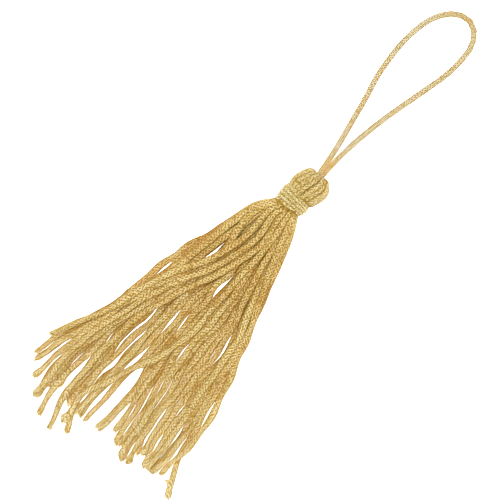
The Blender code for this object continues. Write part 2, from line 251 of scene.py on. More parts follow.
# The usual cord, in millimetres
STITCH = 1.15
HOLE_DEPTH = 0.2
LEG_HEIGHT = 0.04
LOWEST = 0.02  # no point of a cord lies lower than this
CORD_SOCKETS = {
    "Geometry": ("NodeSocketGeometry", None),
    "Stitch": ("NodeSocketFloat", STITCH * MM),
    "Hole depth": ("NodeSocketFloat", HOLE_DEPTH * MM),
    "Leg height": ("NodeSocketFloat", LEG_HEIGHT * MM),
    "Lowest": ("NodeSocketFloat", LOWEST * MM),
    "Silk": ("NodeSocketMaterial", None),
}
print("net: %d lines of holes, %.2f mm to a stitch" % (HOLE_LINES, STITCH))

# %% Sweep a plain tube
def captured(curve, value, kind):
    """Keeps a value of the curve as it is now. Gives the curve and the kept value."""
    tree = curve.tree
    keep = tree.nodes.new("GeometryNodeCaptureAttribute")
    keep.capture_items.new(kind, "kept")
    tree.links.new(curve.socket, keep.inputs[0])
    tree.links.new(value.socket, keep.inputs[1])
    return Wire(tree, keep.outputs[0]), Wire(tree, keep.outputs[1])


def swept(tree, given):
    """A plain tube along the routes. Gives it with its middle line, its heading, and the number
    of each ring of points and of each corner of the section."""
    curve = node(tree, "GeometryNodeMeshToCurve", {"Mesh": given["Geometry"]})
    feeds = {"Curve": curve, "Length": given["Stitch"] / ROWS_A_STITCH}
    curve = node(tree, "GeometryNodeResampleCurve", feeds, mode="LENGTH")
    curve, middle = captured(curve, node(tree, "GeometryNodeInputPosition"), "VECTOR")
    curve, along = captured(curve, node(tree, "GeometryNodeInputTangent"), "VECTOR")
    count = node(tree, "GeometryNodeSplineParameter", out="Index")
    curve, count = captured(curve, count, "INT")
    section = node(tree, "GeometryNodeCurvePrimitiveCircle", {"Resolution": COLUMNS})
    section, column = captured(section, node(tree, "GeometryNodeInputIndex"), "INT")
    feeds = {"Curve": curve, "Profile Curve": section, "Fill Caps": True}
    return node(tree, "GeometryNodeCurveToMesh", feeds), middle, along, count, column


# %% The tree that knits a cord along a route
def noise_at(place):
    """Smooth noise with one patch to each unit of the place."""
    return node(place.tree, "ShaderNodeTexNoise", {"Vector": place, "Scale": 1.0}, out="Fac")


def lifted(place, lowest):
    """A place moved up to the lowest height, if it is below that."""
    tree = place.tree
    apart = tree.nodes.new("ShaderNodeSeparateXYZ")
    tree.links.new(place.socket, apart.inputs[0])
    x, y, z = (Wire(tree, socket) for socket in apart.outputs)
    feeds = {"X": x, "Y": y, "Z": maths("MAXIMUM", z, lowest)}
    return node(tree, "ShaderNodeCombineXYZ", feeds)


def build_knit_tree():
    tree, given, result = new_tree(
        "Knitted cord", "GeometryNodeTree", CORD_SOCKETS, {"Geometry": "NodeSocketGeometry"}
    )
    tube, middle, along, count, column = swept(tree, given)

    # Where on the cord's section each point lies
    outward = stored(tree, "outward", "FLOAT_VECTOR")
    side = vectors("NORMALIZE", vectors("CROSS_PRODUCT", outward, along))
    outward = vectors("CROSS_PRODUCT", along, side)
    half_width, half_height = stored(tree, "half_width"), stored(tree, "half_height")
    angle = column * (math.tau / COLUMNS) + stored(tree, "twist")
    across, crest = maths("COSINE", angle), maths("SINE", angle)
    fuller = across * crest * across * crest * FULLNESS + 1.0
    to_right, to_top = across * fuller, crest * fuller

    # The net of holes, and how far it moves each point in or out
    line = column * (math.pi * HOLE_LINES / COLUMNS)
    ring = maths("COSINE", line)
    stagger = (1.0 - ring) * HALF_STITCH
    stitches = count / ROWS_A_STITCH + noise_at(times(middle, PULLS))
    row = stitches + stagger + maths("SINE", line) * HOLE_SLANT
    leg = maths("COSINE", stitches * math.tau) * -1.0
    hole = maths("MAXIMUM", ring * maths("COSINE", row * math.tau), 0.0)
    relief = leg * given["Leg height"] - hole * hole * given["Hole depth"]
    spot = vectors("ADD", middle, times(side, to_right * half_width))
    spot = vectors("ADD", spot, times(outward, to_top * half_height))
    uneven = noise_at(times(spot, LUMPS)) * LUMPINESS + LEAST_RELIEF
    is_open = stored(tree, "open")
    relief = relief * is_open * uneven

    # The points in their places
    place = vectors("ADD", middle, times(side, to_right * (half_width + relief)))
    place = vectors("ADD", place, times(outward, to_top * (half_height + relief)))
    place = vectors("ADD", place, times(along, stagger * given["Stitch"] * is_open))
    place = lifted(place, given["Lowest"])
    tube = node(tree, "GeometryNodeSetPosition", {"Geometry": tube, "Position": place})
    for name, value in (("row", row), ("ring", ring), ("across", across), ("crest", crest)):
        feeds = {"Geometry": tube, "Name": name, "Value": value}
        tube = node(tree, "GeometryNodeStoreNamedAttribute", feeds, data_type="FLOAT")
    tube = node(tree, "GeometryNodeSetShadeSmooth", {"Geometry": tube})
    tube = node(tree, "GeometryNodeRealizeInstances", {"Geometry": tube})
    tube = node(tree, "GeometryNodeSetMaterial", {"Geometry": tube, "Material": given["Silk"]})
    tree.links.new(tube.socket, result.inputs[0])
    return tree


knit_tree = build_knit_tree()
print("knit tree:", len(knit_tree.nodes), "nodes")

# %% [markdown]
# ## From routes to a piece
# A route is a row of points with a few numbers at each: how wide and how thick the cord is there,
# which way its face looks, how far it has turned, how open its stitches are, what tint it has and
# how much its neighbours shade it. A chain of mesh edges can carry all of them, and a curve could
# not carry them as simply. The tree turns the chains into tubes, and the result is kept as a plain
# mesh.

# %% Knit along routes
NUMBERS = ("half_width", "half_height", "twist", "open", "tint", "shade")
SPENT = ("outward", "half_width", "half_height", "twist", "open")  # of no use on a finished cord


def route_of(points, outward, **numbers):
    """One cord: its points and sizes in millimetres, and its other numbers, at each point."""
    count = len(points)
    route = {name: np.broadcast_to(numbers.get(name, 0.0), count) for name in NUMBERS}
    return {"points": points, "outward": np.broadcast_to(outward, (count, 3)), **route}


def add_chains(name, routes):
    """A mesh of edges alone, one chain for each route, carrying the numbers of its points."""
    joined = {key: np.concatenate([route[key] for route in routes]) for key in routes[0]}
    ends = set(np.cumsum([len(route["points"]) for route in routes]))
    count = len(joined["points"])
    edges = [(k, k + 1) for k in range(count - 1) if k + 1 not in ends]
    mesh = bpy.data.meshes.new(name)
    mesh.from_pydata((joined["points"] * MM).tolist(), edges, [])
    faces_out = mesh.attributes.new("outward", "FLOAT_VECTOR", "POINT")
    faces_out.data.foreach_set("vector", joined["outward"].astype(np.float32).ravel())
    for key in NUMBERS:
        scale = MM if key.startswith("half") else 1.0
        values = (joined[key] * scale).astype(np.float32)
        mesh.attributes.new(key, "FLOAT", "POINT").data.foreach_set("value", values)
    chains = bpy.data.objects.new(name, mesh)
    bpy.context.scene.collection.objects.link(chains)
    return chains


def run_tree(name, base, tree, values):
    """Runs a geometry node tree on an object, and keeps the result as a plain mesh object."""
    modifier = base.modifiers.new("tree", "NODES")
    modifier.node_group = tree
    sockets = {item.name: item.identifier for item in tree.interface.items_tree}
    for label, value in values.items():
        modifier[sockets[label]] = value
    graph = bpy.context.evaluated_depsgraph_get()
    mesh = bpy.data.meshes.new_from_object(base.evaluated_get(graph))
    mesh.name = name
    bpy.data.objects.remove(base, do_unlink=True)
    piece = bpy.data.objects.new(name, mesh)
    bpy.context.scene.collection.objects.link(piece)
    return piece


def triangles_in(piece):
    piece.data.calc_loop_triangles()
    return len(piece.data.loop_triangles)


def knit(name, routes, silk, stitch=STITCH, holes=HOLE_DEPTH, legs=LEG_HEIGHT):
    """Knits one piece along these routes, with sizes in millimetres."""
    sizes = {"Stitch": stitch, "Hole depth": holes, "Leg height": legs, "Lowest": LOWEST}
    values = {label: size * MM for label, size in sizes.items()}
    values["Silk"] = silk
    piece = run_tree(name, add_chains(name + "_routes", routes), knit_tree, values)
    for spent in SPENT:
        piece.data.attributes.remove(piece.data.attributes[spent])
    print(name, "-", len(routes), "cords,", triangles_in(piece), "triangles")
    return piece


# %% [markdown]
# ## The silk
# Silk cord is gold all through, but it never looks one colour. Yarn that stands up catches the
# light, the little holes between stitches are dark with shade, and light that has been through the
# yarn comes back deeper and browner. Much of that is painted here as colour. An image of cloth
# would stretch and repeat along a cord, so one node group works the pattern out from the cord's own
# numbers. It places the holes and the plies of the yarn by `row` and `ring`, with painted shade in
# the holes, paints shade on the flanks of a cord and a highlight on its crest by `crest`, and adds
# fuzz and dark flecks. `tint` mixes in a deeper colour, partly patches of the yarn's own tone and
# partly painted shade on cords that lie buried. `shade` is painted shade, mostly where neighbours
# keep the light off, and below zero it is painted light. The group gives a colour, a roughness and
# a height, and each silk has its own colours and its own sheen.

# %% Numbers of the knit pattern
PATTERN_SOCKETS = {
    "Yarn": ("NodeSocketColor", None),
    "Deep yarn and shade": ("NodeSocketColor", None),
    "Hole": ("NodeSocketColor", None),
    "Hole strength": ("NodeSocketFloat", None),
    "Furrow": ("NodeSocketFloat", None),
    "Fleck": ("NodeSocketFloat", None),
}
PATTERN_RESULTS = {
    "Color": "NodeSocketColor",
    "Roughness": "NodeSocketFloat",
    "Height": "NodeSocketFloat",
}
FUZZ_ROUND = 8.0  # patches of fuzz to a cord's half width
FUZZ_ALONG = 2.2  # patches of fuzz to a stitch
FLECKS = 1900.0  # flecks to a metre
PATCHES = 170.0  # patches of deeper yarn to a metre
PLIES = 5  # plies that cross one stitch
PLY_TURN = 9.0  # how far a ply winds as `ring` falls by one, in radians

# Ramps, as the values they run between and what they give there
HOLE_OPENS = (0.36, 0.56, 0.2, 1.0)
HOLE_EDGE = (0.2, 0.6)
PATCH_TINT = (0.4, 0.65, 0.75, 1.45)
FUZZ_LIGHT = (0.3, 0.52, 0.85, 1.05)
FUZZ_ROUGH = (0.2, 0.8, 0.42, 0.66)
FLECK_ENDS = (0.36, 0.52)
FLECK_LIGHT = 1.12
# A cord's flanks get painted shade and its crest a painted highlight, between these values of
# `crest`
CREST_ENDS = (0.0, 0.95)
CREST_HIGHLIGHT = 1.05
PLY_LIGHT = (0.06, 0.97)  # how much a ply lightens, and the light between plies
SHADE_DEPTH = 0.4

# Parts of the pattern's height; a hole is as deep as 1
LEG_RELIEF = 0.2
PLY_RELIEF = 0.1
FUZZ_RELIEF = 0.3

# Gold silk takes blue out of the light first, so its shadows are brown and its crests are pale
FADING = {"Red": 0.8, "Green": 1.2, "Blue": 3.0}
print("pattern: colours and values it takes:", ", ".join(PATTERN_SOCKETS))

# %% The knit pattern, as a shader node group
def attribute(tree, name):
    """A value that the knit tree left on the mesh."""
    return node(tree, "ShaderNodeAttribute", out="Fac", attribute_name=name)


def ramp(value, low, high, to_low=0.0, to_high=1.0):
    """Moves a value from one range to another, with soft ends."""
    feeds = {"Value": value, "From Min": low, "From Max": high, "To Min": to_low, "To Max": to_high}
    return node(value.tree, "ShaderNodeMapRange", feeds, interpolation_type="SMOOTHSTEP")


def mixed(share, first, second, blend="MIX"):
    """Two colours mixed. The first one has to be a wire."""
    feeds = {0: share, 6: first, 7: second}
    return node(first.tree, "ShaderNodeMix", feeds, 2, data_type="RGBA", blend_type=blend)


def noise(tree, scale):
    """Noise fixed in the object, with this many patches to a metre."""
    place = node(tree, "ShaderNodeTexCoord", out="Object")
    feeds = {"Vector": place, "Scale": scale, "Detail": 1.0}
    return node(tree, "ShaderNodeTexNoise", feeds, out="Fac")


def build_pattern():
    tree, given, result = new_tree(
        "Knit pattern", "ShaderNodeTree", PATTERN_SOCKETS, PATTERN_RESULTS
    )
    row, ring = attribute(tree, "row"), attribute(tree, "ring")
    across, crest = attribute(tree, "across"), attribute(tree, "crest")
    tint, shade = attribute(tree, "tint"), attribute(tree, "shade")
    feeds = {"X": across * FUZZ_ROUND, "Y": crest * FUZZ_ROUND, "Z": row * FUZZ_ALONG}
    fuzz = noise_at(node(tree, "ShaderNodeCombineXYZ", feeds))
    fleck, patch = noise(tree, FLECKS), noise(tree, PATCHES)
    hole = ramp(ring * maths("COSINE", row * math.tau), *HOLE_EDGE) * ramp(fleck, *HOLE_OPENS)
    slant = row - (1.0 - ring) * HALF_STITCH
    leg = maths("COSINE", slant * math.tau) * -0.5 + 0.5
    ply = maths("SINE", slant * (math.tau * PLIES) + ring * PLY_TURN) * 0.5 + 0.5

    light = ramp(fuzz, *FUZZ_LIGHT) * ramp(fleck, *FLECK_ENDS, given["Fleck"], FLECK_LIGHT)
    # Painted shade on the flanks of each cord and a painted highlight on its crest, then the
    # painted shade of `shade`, which is painted light below zero
    light = light * ramp(crest, *CREST_ENDS, given["Furrow"], CREST_HIGHLIGHT)
    light = light * (ply * PLY_LIGHT[0] + PLY_LIGHT[1]) * (shade * -SHADE_DEPTH + 1.0)
    faded = {part: maths("POWER", light, power) for part, power in FADING.items()}
    faded = node(tree, "ShaderNodeCombineColor", faded)

    # The deeper colour: patches of the yarn's own tone, and painted shade where `tint` marks a
    # buried cord
    tint = maths("MINIMUM", tint * ramp(patch, *PATCH_TINT), 1.0)
    colour = mixed(tint, given["Yarn"], given["Deep yarn and shade"])
    colour = mixed(1.0, colour, faded, "MULTIPLY")
    # Painted shade in the holes of the net
    colour = mixed(hole * given["Hole strength"], colour, given["Hole"])
    rough = ramp(fuzz, *FUZZ_ROUGH)
    height = leg * LEG_RELIEF + ply * PLY_RELIEF + fuzz * FUZZ_RELIEF - hole
    for label, value in (("Color", colour), ("Roughness", rough), ("Height", height)):
        tree.links.new(value.socket, result.inputs[label])
    return tree


pattern = build_pattern()
print("knit pattern:", len(pattern.nodes), "nodes")

# %% A silk for each kind of cord
# Three colours: the yarn, its deeper colour (deeper yarn and painted shade), and the painted
# shade in a hole. Then how dark that hole shade is, how light the painted furrow shade and a fleck
# leave the yarn, the depth of the stitches as a bump, and the silk's sheen
Silk = namedtuple("Silk", "yarn deep hole strength furrow fleck bump sheen")
SILKS = {
    "skirt_silk": Silk(
        (0.835, 0.63, 0.215), (0.65, 0.37, 0.065), (0.24, 0.14, 0.02), 0.9, 0.6, 0.55, 0.3, 0.3
    ),
    "head_silk": Silk(
        (0.79, 0.60, 0.21), (0.50, 0.31, 0.07), (0.20, 0.11, 0.01), 0.9, 0.5, 0.55, 0.3, 0.3
    ),
    "binding_silk": Silk(
        (0.83, 0.66, 0.25), (0.60, 0.39, 0.08), (0.20, 0.11, 0.01), 0.8, 0.7, 0.62, 0.3, 0.3
    ),
    "loop_silk": Silk(
        (0.77, 0.645, 0.345), (0.76, 0.51, 0.17), (0.4, 0.29, 0.1), 0.9, 0.7, 0.66, 0.2, 0.4
    ),
}
BUMP_DISTANCE = 0.1 * MM

# Light sinks a little way into the yarn, and comes back from its fibres as a soft, warm sheen
SHARED_LOOK = {
    "Subsurface Weight": 0.2,
    "Subsurface Radius": (1.0, 0.6, 0.25),
    "Subsurface Scale": 0.7 * MM,
    "Specular IOR Level": 0.35,
    "Sheen Roughness": 0.45,
    "Sheen Tint": (1.0, 0.86, 0.6, 1),
}


def add_silk(name, look):
    material = bpy.data.materials.new(name)
    material.use_nodes = True
    tree = material.node_tree
    shader = tree.nodes["Principled BSDF"]
    group = tree.nodes.new("ShaderNodeGroup")
    group.node_tree = pattern
    group.inputs["Yarn"].default_value = (*look.yarn, 1)
    group.inputs["Deep yarn and shade"].default_value = (*look.deep, 1)
    group.inputs["Hole"].default_value = (*look.hole, 1)
    group.inputs["Hole strength"].default_value = look.strength
    group.inputs["Furrow"].default_value = look.furrow
    group.inputs["Fleck"].default_value = look.fleck
    bump = tree.nodes.new("ShaderNodeBump")
    bump.inputs["Strength"].default_value = look.bump
    bump.inputs["Distance"].default_value = BUMP_DISTANCE
    tree.links.new(group.outputs["Color"], shader.inputs["Base Color"])
    tree.links.new(group.outputs["Roughness"], shader.inputs["Roughness"])
    tree.links.new(group.outputs["Height"], bump.inputs["Height"])
    tree.links.new(bump.outputs["Normal"], shader.inputs["Normal"])
    shader.inputs["Sheen Weight"].default_value = look.sheen
    for label, value in SHARED_LOOK.items():
        shader.inputs[label].default_value = value
    return material


silks = {name: add_silk(name, look) for name, look in SILKS.items()}
print("silks:", ", ".join(silks))

# %% [markdown]
# ## The hanging loop
# A finer cord passes under the fold of the hank, and its doubled length is the loop the tassel
# hangs by. It lies loosely on the table, leaves the middle of the head, and comes back into it.
# Its route is a table of points that one smooth curve runs through, as a cord would lie, and its
# length is measured along that curve.

# %% The hanging loop's route
LOOP_DIAMETER = 1.6
LOOP_POINTS = 46
LOOP_CLEAR = 0.02  # air between the loop and the table
LoopPoint = namedtuple("LoopPoint", "across along up")
LOOP = (
    LoopPoint(0.35, 4.35, 5.65),
    LoopPoint(0.10, 8.0, 5.35),
    LoopPoint(-0.15, 11.5, 4.45),
    LoopPoint(-0.8, 17.0, 2.6),
    LoopPoint(-1.7, 23.5, 1.15),
    LoopPoint(-2.6, 30.0, 0.82),
    LoopPoint(-3.8, 36.9, 0.82),
    LoopPoint(-4.1, 42.0, 0.82),
    LoopPoint(-4.15, 47.4, 0.82),
    LoopPoint(-3.4, 53.4, 0.82),
    LoopPoint(-2.0, 58.4, 0.82),
    LoopPoint(0.05, 61.9, 0.82),
    LoopPoint(2.9, 64.5, 0.82),
    LoopPoint(5.7, 65.4, 0.82),
    LoopPoint(8.5, 65.0, 0.82),
    LoopPoint(10.6, 63.1, 0.82),
    LoopPoint(12.2, 59.5, 0.82),
    LoopPoint(12.3, 55.5, 0.82),
    LoopPoint(11.8, 50.8, 0.82),
    LoopPoint(10.5, 45.6, 0.82),
    LoopPoint(8.8, 40.1, 0.82),
    LoopPoint(7.1, 34.6, 0.82),
    LoopPoint(5.4, 29.0, 0.84),
    LoopPoint(4.1, 23.8, 1.05),
    LoopPoint(2.9, 18.4, 1.75),
    LoopPoint(2.2, 13.9, 2.7),
    LoopPoint(1.7, 10.0, 3.45),
    LoopPoint(1.15, 4.35, 4.0),
)


def smooth_through(places, values, at):
    """A natural cubic curve through (places, values), read at `at`."""
    places, values = np.asarray(places, float), np.asarray(values, float)
    count = len(places)
    step = np.diff(places)
    slope = np.diff(values) / step
    system = np.eye(count)
    right = np.zeros(count)
    for k in range(1, count - 1):
        system[k, k - 1 : k + 2] = step[k - 1], 2 * (step[k - 1] + step[k]), step[k]
        right[k] = 6 * (slope[k] - slope[k - 1])
    bend = np.linalg.solve(system, right)
    k = np.clip(np.searchsorted(places, at, side="right") - 1, 0, count - 2)
    t = at - places[k]
    return (
        values[k]
        + t * (slope[k] - step[k] * (2 * bend[k] + bend[k + 1]) / 6)
        + t**2 * bend[k] / 2
        + t**3 * (bend[k + 1] - bend[k]) / (6 * step[k])
    )


def loop_points():
    """The loop's middle line, as evenly spaced points on a smooth curve."""
    table = np.array(LOOP)
    chord = np.concatenate([[0], np.cumsum(np.linalg.norm(np.diff(table, axis=0), axis=1))])
    at = np.linspace(0, chord[-1], LOOP_POINTS)
    points = np.stack([smooth_through(chord, table[:, k], at) for k in range(3)], axis=1)
    points[:, 2] = np.maximum(points[:, 2], LOOP_DIAMETER / 2 + LOOP_CLEAR)
    return points


def length_of(points):
    return np.linalg.norm(np.diff(points, axis=0), axis=1).sum()


loop_line = loop_points()
print("loop: %.1f mm long, %.1f mm thick" % (length_of(loop_line), LOOP_DIAMETER))

LOOP_STITCH = 0.9
LOOP_TURN = 3.0  # how far the loop turns about itself from end to end, in radians
LOOP_TINT = 0.25
LOOP_TINT_SWING = 0.2
LOOP_TINT_WAVES = 11.0

# Places up the loop, and what it has there: it is deeper in colour by the head and at its far bend
BEND_TINT = ((7, 13, 58, 65), (1.0, 0.0, 0.0, 0.6))
BEND_SHADE = ((58, 65), (0.0, 0.15))


def add_loop():
    tint = LOOP_TINT + LOOP_TINT_SWING * np.sin(np.linspace(0, LOOP_TINT_WAVES, LOOP_POINTS))
    along = loop_line[:, 1]
    route = route_of(
        loop_line,
        (0.0, 0.0, 1.0),
        half_width=LOOP_DIAMETER / 2,
        half_height=LOOP_DIAMETER / 2,
        twist=np.linspace(0, LOOP_TURN, LOOP_POINTS),
        open=0.7,
        tint=np.maximum(tint, np.interp(along, *BEND_TINT)),
        shade=np.interp(along, *BEND_SHADE),
    )
    loop = knit("hanging_loop_cord", [route], silks["loop_silk"], stitch=LOOP_STITCH)
    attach(loop, "root")
    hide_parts("hanging_loop")


add_loop()

# %% [markdown]
# ## Where each cord end lies
# Forty cord ends leave the neck and fall over one another on the table. Drawing forty curves by
# hand would be slow and would never stack well. Instead a short table says where each end passes
# in plan, and a small height map does the stacking: each end is laid on what is already there,
# climbs over it gently, and comes down to the table where nothing is below.

# %% The table of cord ends
# The knitted cord, in millimetres
CORD_WIDTH = 1.95
CORD_THICKNESS = 1.05
CORD_GAP = 0.15  # air kept under a cord that lies on another one
SIDE_GAP = 0.25  # air kept between two cords of one layer near the neck
CORE_SHARE = 0.34  # share of a cord's width that climbs over others; the rest gives way

# The skirt, down the -Y axis
ROOT_DOWN = -9.0
ROOT_INSET = 0.3
SHOULDER_DOWN = -12.0
MOUTH_DOWN = -16.0
GROUND_FADE = 8.0  # the outermost cords come down to the surface over this length
STATIONS_DOWN = (-30.0, -45.0, -60.0, -75.0)
SEGMENTS = 26  # straight stretches in each cord end
CLIMB = 0.4  # steepest rise of a cord over another one

# The bundle's outline from the neck to the mouth of the skirt
Outline = namedtuple("Outline", "down across up half_width half_height")
BUNDLE = (
    Outline(-9.0, -1.25, 4.4, 4.1, 3.9),
    Outline(-10.0, -1.55, 4.35, 5.1, 4.0),
    Outline(-11.0, -1.75, 4.3, 5.8, 4.0),
    Outline(-12.0, -1.90, 4.2, 6.4, 4.0),
    Outline(-14.0, -2.00, 4.0, 7.5, 3.9),
    Outline(-16.0, -2.20, 3.8, 8.25, 3.8),
)

# Each cord end in plan: how far across it is at each of STATIONS_DOWN, and where it is cut.
# The layers are laid one on another from the surface up, and each runs from left to right.
End = namedtuple("End", "at_30 at_45 at_60 at_75 cut_across cut_down")
Layer = namedtuple("Layer", "name spread ends")
LAYERS = (
    Layer(
        "first",
        0.84,
        (
            End(-12.6, -16.4, -19.9, -24.3, -25.4, -91.2),
            End(-7.9, -11.9, -14.9, -15.6, -15.7, -91.0),
            End(-4.9, -8.3, -10.2, -11.5, -12.8, -90.4),
            End(0.4, 0.4, -1.4, -0.1, 1.6, -91.3),
            End(3.2, 5.2, 4.9, 5.6, 8.7, -90.2),
            End(5.9, 11.3, 12.3, 12.9, 14.3, -91.5),
        ),
    ),
    Layer(
        "second",
        1.00,
        (
            End(-14.1, -19.5, -22.7, -29.0, -32.3, -85.2),
            End(-10.8, -13.4, -16.8, -16.5, -17.4, -89.6),
            End(-3.6, -7.3, -8.5, -10.4, -11.2, -91.9),
            End(-2.5, -4.6, -5.0, -3.6, -5.4, -91.4),
            End(2.2, 2.8, 3.4, 5.5, 5.7, -94.4),
            End(4.4, 9.5, 10.4, 9.8, 12.2, -91.8),
            End(8.0, 11.9, 15.2, 17.5, 23.4, -95.0),
        ),
    ),
    Layer(
        "third",
        1.07,
        (
            End(-13.8, -17.8, -21.2, -27.4, -30.9, -86.7),
            End(-10.8, -14.9, -18.3, -20.4, -20.9, -88.8),
            End(-5.2, -8.4, -9.9, -11.0, -11.9, -91.5),
            End(-1.8, -5.8, -6.1, -7.9, -8.9, -91.5),
            End(1.2, 1.6, -0.3, 1.9, 3.3, -91.5),
            End(3.6, 6.3, 6.7, 6.4, 7.8, -94.1),
            End(7.0, 11.0, 12.4, 14.4, 14.6, -91.7),
        ),
    ),
    Layer(
        "fourth",
        1.07,
        (
            End(-12.9, -17.2, -20.7, -27.2, -30.6, -86.0),
            End(-8.1, -10.3, -12.0, -14.3, -11.3, -97.9),
            End(-2.5, -2.9, -3.4, -2.9, -4.3, -91.4),
            End(-0.4, -1.2, -2.3, -1.6, -0.5, -89.0),
            End(2.8, 4.0, 2.7, 2.9, 2.4, -91.3),
            End(5.5, 10.3, 11.4, 11.6, 14.0, -91.8),
            End(8.8, 12.8, 16.8, 19.0, 17.1, -90.7),
        ),
    ),
    Layer(
        "fifth",
        1.00,
        (
            End(-12.7, -15.7, -19.1, -22.0, -22.8, -90.3),
            End(-10.9, -14.1, -17.6, -19.8, -20.6, -98.7),
            End(-6.3, -14.6, -21.0, -25.3, -28.4, -90.7),
            End(-3.9, -11.4, -17.8, -22.6, -24.1, -94.5),
            End(1.8, 2.4, 1.8, 3.5, 4.7, -93.5),
            End(4.4, 7.6, 8.3, 8.2, 9.7, -89.5),
            End(6.4, 10.6, 11.8, 12.9, 13.5, -90.8),
        ),
    ),
    Layer(
        "top",
        0.84,
        (
            End(-7.8, -12.0, -14.5, -17.4, -17.8, -90.6),
            End(-7.7, -16.2, -22.2, -30.1, -32.2, -78.3),
            End(-5.0, -13.0, -19.4, -23.9, -24.6, -94.8),
            End(-2.7, -9.8, -15.4, -17.5, -16.0, -99.9),
            End(0.8, 0.0, -2.0, -9.1, -14.2, -95.9),
            End(7.6, 12.3, 13.7, 15.9, 15.2, -91.6),
        ),
    ),
)

# Places where a cord end bows aside: by how much, at its middle, and over what reach
Bow = namedtuple("Bow", "layer place down across reach")
BOWS = (
    Bow("first", 2, -79.0, -0.6, 5.0),
    Bow("first", 4, -82.5, -1.5, 8.0),
    Bow("first", 5, -83.0, -0.6, 8.0),
    Bow("second", 0, -22.0, -0.4, 8.0),
    Bow("second", 0, -34.5, -0.9, 5.0),
    Bow("second", 0, -44.0, -0.1, 6.0),
    Bow("second", 3, -83.0, 0.4, 8.0),
    Bow("second", 4, -86.0, -0.6, 6.0),
    Bow("second", 5, -52.0, 0.6, 8.0),
    Bow("second", 5, -83.0, -0.5, 8.0),
    Bow("second", 6, -83.0, -1.0, 9.0),
    Bow("second", 6, -90.5, -0.9, 5.0),
    Bow("third", 0, -43.5, 0.9, 6.0),
    Bow("third", 1, -84.0, -0.4, 8.0),
    Bow("third", 5, -84.0, -0.4, 9.0),
    Bow("third", 6, -82.0, 0.9, 8.0),
    Bow("fourth", 0, -43.5, 0.45, 6.0),
    Bow("fourth", 1, -86.0, -0.7, 11.0),
    Bow("fourth", 2, -39.0, -1.1, 6.0),
    Bow("fourth", 2, -83.0, 0.3, 7.0),
    Bow("fourth", 3, -82.0, 0.2, 7.0),
    Bow("fourth", 5, -83.0, -0.6, 8.0),
    Bow("fifth", 1, -87.5, -1.4, 12.0),
    Bow("fifth", 5, -56.0, 0.4, 7.0),
    Bow("top", 1, -20.0, 1.0, 9.0),
    Bow("top", 2, -20.0, 1.2, 9.0),
    Bow("top", 3, -20.0, 0.8, 9.0),
    Bow("top", 3, -87.5, -0.9, 12.0),
    Bow("top", 4, -85.5, -1.4, 10.0),
)

ends_listed = sum(len(layer.ends) for layer in LAYERS)
print("listed:", ends_listed, "cord ends in", len(LAYERS), "layers,", len(BOWS), "bows")

# %% The plan of one cord end
def bundle_at(down):
    """The outline's row at any place along the bundle, as an Outline."""
    places = [-row.down for row in BUNDLE]
    columns = [np.interp(-down, places, [row[k] for row in BUNDLE]) for k in range(1, 5)]
    return Outline(down, *columns)


def plan_of(layer, place):
    """(across, down) of each station of one cord end, seen from above."""
    end = layer.ends[place]
    slot = layer.spread * ((2 * place + 1) / len(layer.ends) - 1)
    roots = [bundle_at(down) for down in (ROOT_DOWN, SHOULDER_DOWN, MOUTH_DOWN)]
    downs = [row.down for row in roots] + list(STATIONS_DOWN) + [end.cut_down]
    acrosses = [row.across + slot * (row.half_width - ROOT_INSET) for row in roots]
    acrosses += list(end[:5])
    down = np.linspace(ROOT_DOWN, end.cut_down, SEGMENTS + 1)
    across = smooth_through([-d for d in downs], acrosses, -down)
    for bow in BOWS:
        if (bow.layer, bow.place) == (layer.name, place):
            near = np.clip(np.abs(down - bow.down) / bow.reach, 0, 1)
            across += bow.across * np.cos(near * math.pi / 2) ** 2
    return across, down


def width_of(layer, down):
    """The width of a cord end at each station: the neck squeezes a layer's cords together."""
    pitch = 2 * layer.spread * (bundle_at(down).half_width - ROOT_INSET) / len(layer.ends)
    return np.minimum(CORD_WIDTH, pitch - SIDE_GAP)


